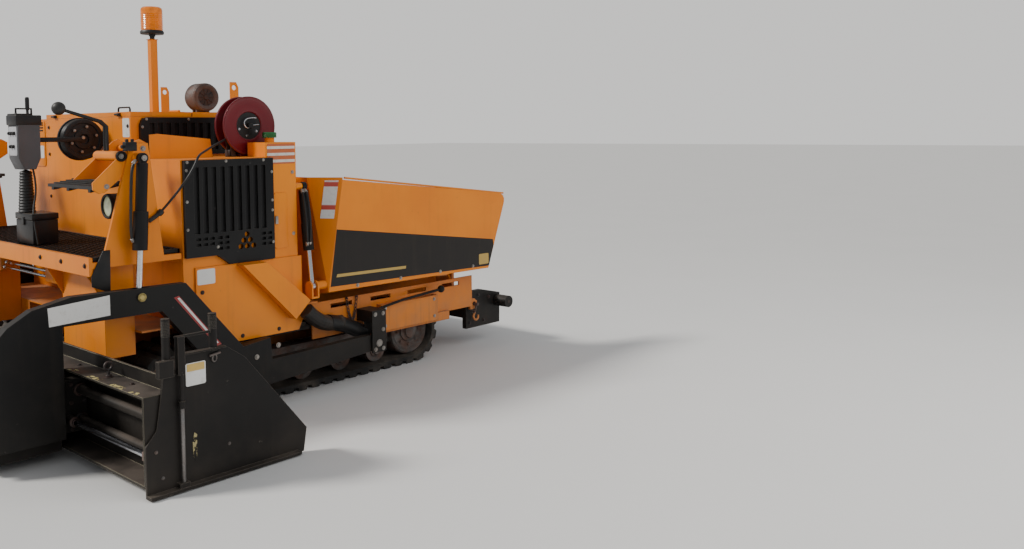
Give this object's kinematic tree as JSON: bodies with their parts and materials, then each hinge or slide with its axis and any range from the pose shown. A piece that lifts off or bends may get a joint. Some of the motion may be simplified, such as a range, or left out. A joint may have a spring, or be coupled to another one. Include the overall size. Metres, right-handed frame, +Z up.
{
  "type": "tracked asphalt paver",
  "caption": "Compact tracked asphalt paver in yellow-orange and black, with a folding hopper at the front and a wide screed with end gates at the back.",
  "frame": {"origin": "centre of the bounding box on the ground, below the tracks", "axes": "+X is the travel direction, +Y the machine's left, +Z up"},
  "size_m": [4.12, 4.2, 2.5813],
  "materials": {
    "paint_orange": "gloss paint, dusty and worn",
    "paint_black": "satin paint, worn",
    "worn_steel": "worn bright where it rolls",
    "chrome": "polished rod",
    "track_rubber": "dusty",
    "black_rubber": "matt",
    "cast_iron": "oily",
    "amber": "clear tinted lens",
    "reel_red": "gloss paint",
    "grey_plastic": "satin",
    "rusty_steel": "rusty",
    "screed_steel": "worn, with bare edges"
  },
  "bodies": {
    "chassis": {"chassis_frame": "paint_orange", "hopper_floor": "paint_orange", "conveyor": "paint_black", "track_right": "track_rubber", "track_left": "track_rubber", "track_rollers": "worn_steel", "engine": "cast_iron", "hood": "paint_orange", "side_grilles": "paint_black", "side_pods": "paint_orange", "tank": "paint_orange", "side_skirts": "paint_orange", "hose_duct": "paint_orange", "platform": "paint_orange", "deck_grating": "paint_black", "console": "grey_plastic", "seats": "black_rubber", "mast": "paint_orange", "beacon": "amber", "hose_reel": "reel_red", "wash_hose": "black_rubber", "wash_wand": "black_rubber", "muffler": "rusty_steel", "work_lights": "paint_black", "tow_brackets": "paint_black", "push_beam": "paint_black"},
    "hood_lid": {"hood_lid": "paint_orange"},
    "push_roller_right": {"push_roller_right": "worn_steel"},
    "push_roller_left": {"push_roller_left": "worn_steel"},
    "wing_right": {"wing_right": "paint_orange"},
    "wing_left": {"wing_left": "paint_orange"},
    "wing_barrel_right": {"wing_barrel_right": "paint_black"},
    "wing_barrel_left": {"wing_barrel_left": "paint_black"},
    "wing_rod_right": {"wing_rod_right": "chrome"},
    "wing_rod_left": {"wing_rod_left": "chrome"},
    "screed": {"tow_arms": "paint_black", "screed": "screed_steel", "walkway": "screed_steel"},
    "extension_right": {"extension_right": "screed_steel", "end_gate_right": "screed_steel"},
    "extension_left": {"extension_left": "screed_steel", "end_gate_left": "screed_steel"},
    "lift_barrel_right": {"lift_barrel_right": "paint_black"},
    "lift_barrel_left": {"lift_barrel_left": "paint_black"},
    "lift_rod_right": {"lift_rod_right": "chrome"},
    "lift_rod_left": {"lift_rod_left": "chrome"},
    "auger_right": {"auger_right": "worn_steel"},
    "auger_left": {"auger_left": "worn_steel"}
  },
  "joints": [
    {"name": "screed_lift", "type": "hinge", "parent": "chassis", "child": "screed", "pos_m": [0.586, 0, 0.255], "axis": [0, 1, 0], "range_deg": [0, 6.5]},
    {"name": "wing_fold_right", "type": "hinge", "parent": "chassis", "child": "wing_right", "pos_m": [0.9, -0.88, 0.59], "axis": [-1, 0, 0], "range_deg": [0, 40]},
    {"name": "wing_barrel_tilt_right", "type": "hinge", "parent": "chassis", "child": "wing_barrel_right", "pos_m": [0.085, -1.13, 1.346], "axis": [1, 0, 0], "range_deg": [0, 20]},
    {"name": "wing_rod_slide_right", "type": "slide", "parent": "wing_barrel_right", "child": "wing_rod_right", "axis": [0, 0.1204, 0.9927], "range_m": [0, 0.21]},
    {"name": "lift_barrel_tilt_right", "type": "hinge", "parent": "chassis", "child": "lift_barrel_right", "pos_m": [-1.03, -1.22, 1.56], "axis": [0, -1, 0], "range_deg": [0, 6.5]},
    {"name": "lift_rod_slide_right", "type": "slide", "parent": "lift_barrel_right", "child": "lift_rod_right", "axis": [0.0591, 0, 0.9983], "range_m": [0, 0.19]},
    {"name": "extension_slide_right", "type": "slide", "parent": "screed", "child": "extension_right", "axis": [0, -1, 0], "range_m": [-0.75, 0.297]},
    {"name": "auger_spin_right", "type": "hinge", "parent": "chassis", "child": "auger_right", "pos_m": [-1.194, -0.6, 0.235], "axis": [0, 1, 0], "continuous": true},
    {"name": "push_roller_spin_right", "type": "hinge", "parent": "chassis", "child": "push_roller_right", "pos_m": [2.014, -0.5, 0.322], "axis": [0, 1, 0], "continuous": true},
    {"name": "wing_fold_left", "type": "hinge", "parent": "chassis", "child": "wing_left", "pos_m": [0.9, 0.88, 0.59], "axis": [1, 0, 0], "range_deg": [0, 40]},
    {"name": "wing_barrel_tilt_left", "type": "hinge", "parent": "chassis", "child": "wing_barrel_left", "pos_m": [0.085, 1.13, 1.346], "axis": [-1, 0, 0], "range_deg": [0, 20]},
    {"name": "wing_rod_slide_left", "type": "slide", "parent": "wing_barrel_left", "child": "wing_rod_left", "axis": [0, -0.1204, 0.9927], "range_m": [0, 0.21]},
    {"name": "lift_barrel_tilt_left", "type": "hinge", "parent": "chassis", "child": "lift_barrel_left", "pos_m": [-1.03, 1.22, 1.56], "axis": [0, -1, 0], "range_deg": [0, 6.5]},
    {"name": "lift_rod_slide_left", "type": "slide", "parent": "lift_barrel_left", "child": "lift_rod_left", "axis": [0.0591, 0, 0.9983], "range_m": [0, 0.19]},
    {"name": "extension_slide_left", "type": "slide", "parent": "screed", "child": "extension_left", "axis": [0, 1, 0], "range_m": [-0.75, 0.297]},
    {"name": "auger_spin_left", "type": "hinge", "parent": "chassis", "child": "auger_left", "pos_m": [-1.194, 0.6, 0.235], "axis": [0, 1, 0], "continuous": true},
    {"name": "push_roller_spin_left", "type": "hinge", "parent": "chassis", "child": "push_roller_left", "pos_m": [2.014, 0.5, 0.322], "axis": [0, 1, 0], "continuous": true},
    {"name": "hood_lid_open", "type": "hinge", "parent": "chassis", "child": "hood_lid", "pos_m": [-0.29, 0.185, 1.839], "axis": [0, 1, 0], "range_deg": [0, 55]}
  ],
  "couplings": [
    {"joint": "wing_barrel_tilt_right", "follows": "wing_fold_right", "ratio": 0.335},
    {"joint": "wing_rod_slide_right", "follows": "wing_fold_right", "m_per_rad": 0.2794},
    {"joint": "lift_barrel_tilt_right", "follows": "screed_lift", "ratio": 0.8651},
    {"joint": "lift_rod_slide_right", "follows": "screed_lift", "m_per_rad": 1.6448},
    {"joint": "wing_barrel_tilt_left", "follows": "wing_fold_left", "ratio": 0.335},
    {"joint": "wing_rod_slide_left", "follows": "wing_fold_left", "m_per_rad": 0.2794},
    {"joint": "lift_barrel_tilt_left", "follows": "screed_lift", "ratio": 0.8651},
    {"joint": "lift_rod_slide_left", "follows": "screed_lift", "m_per_rad": 1.6448}
  ]
}
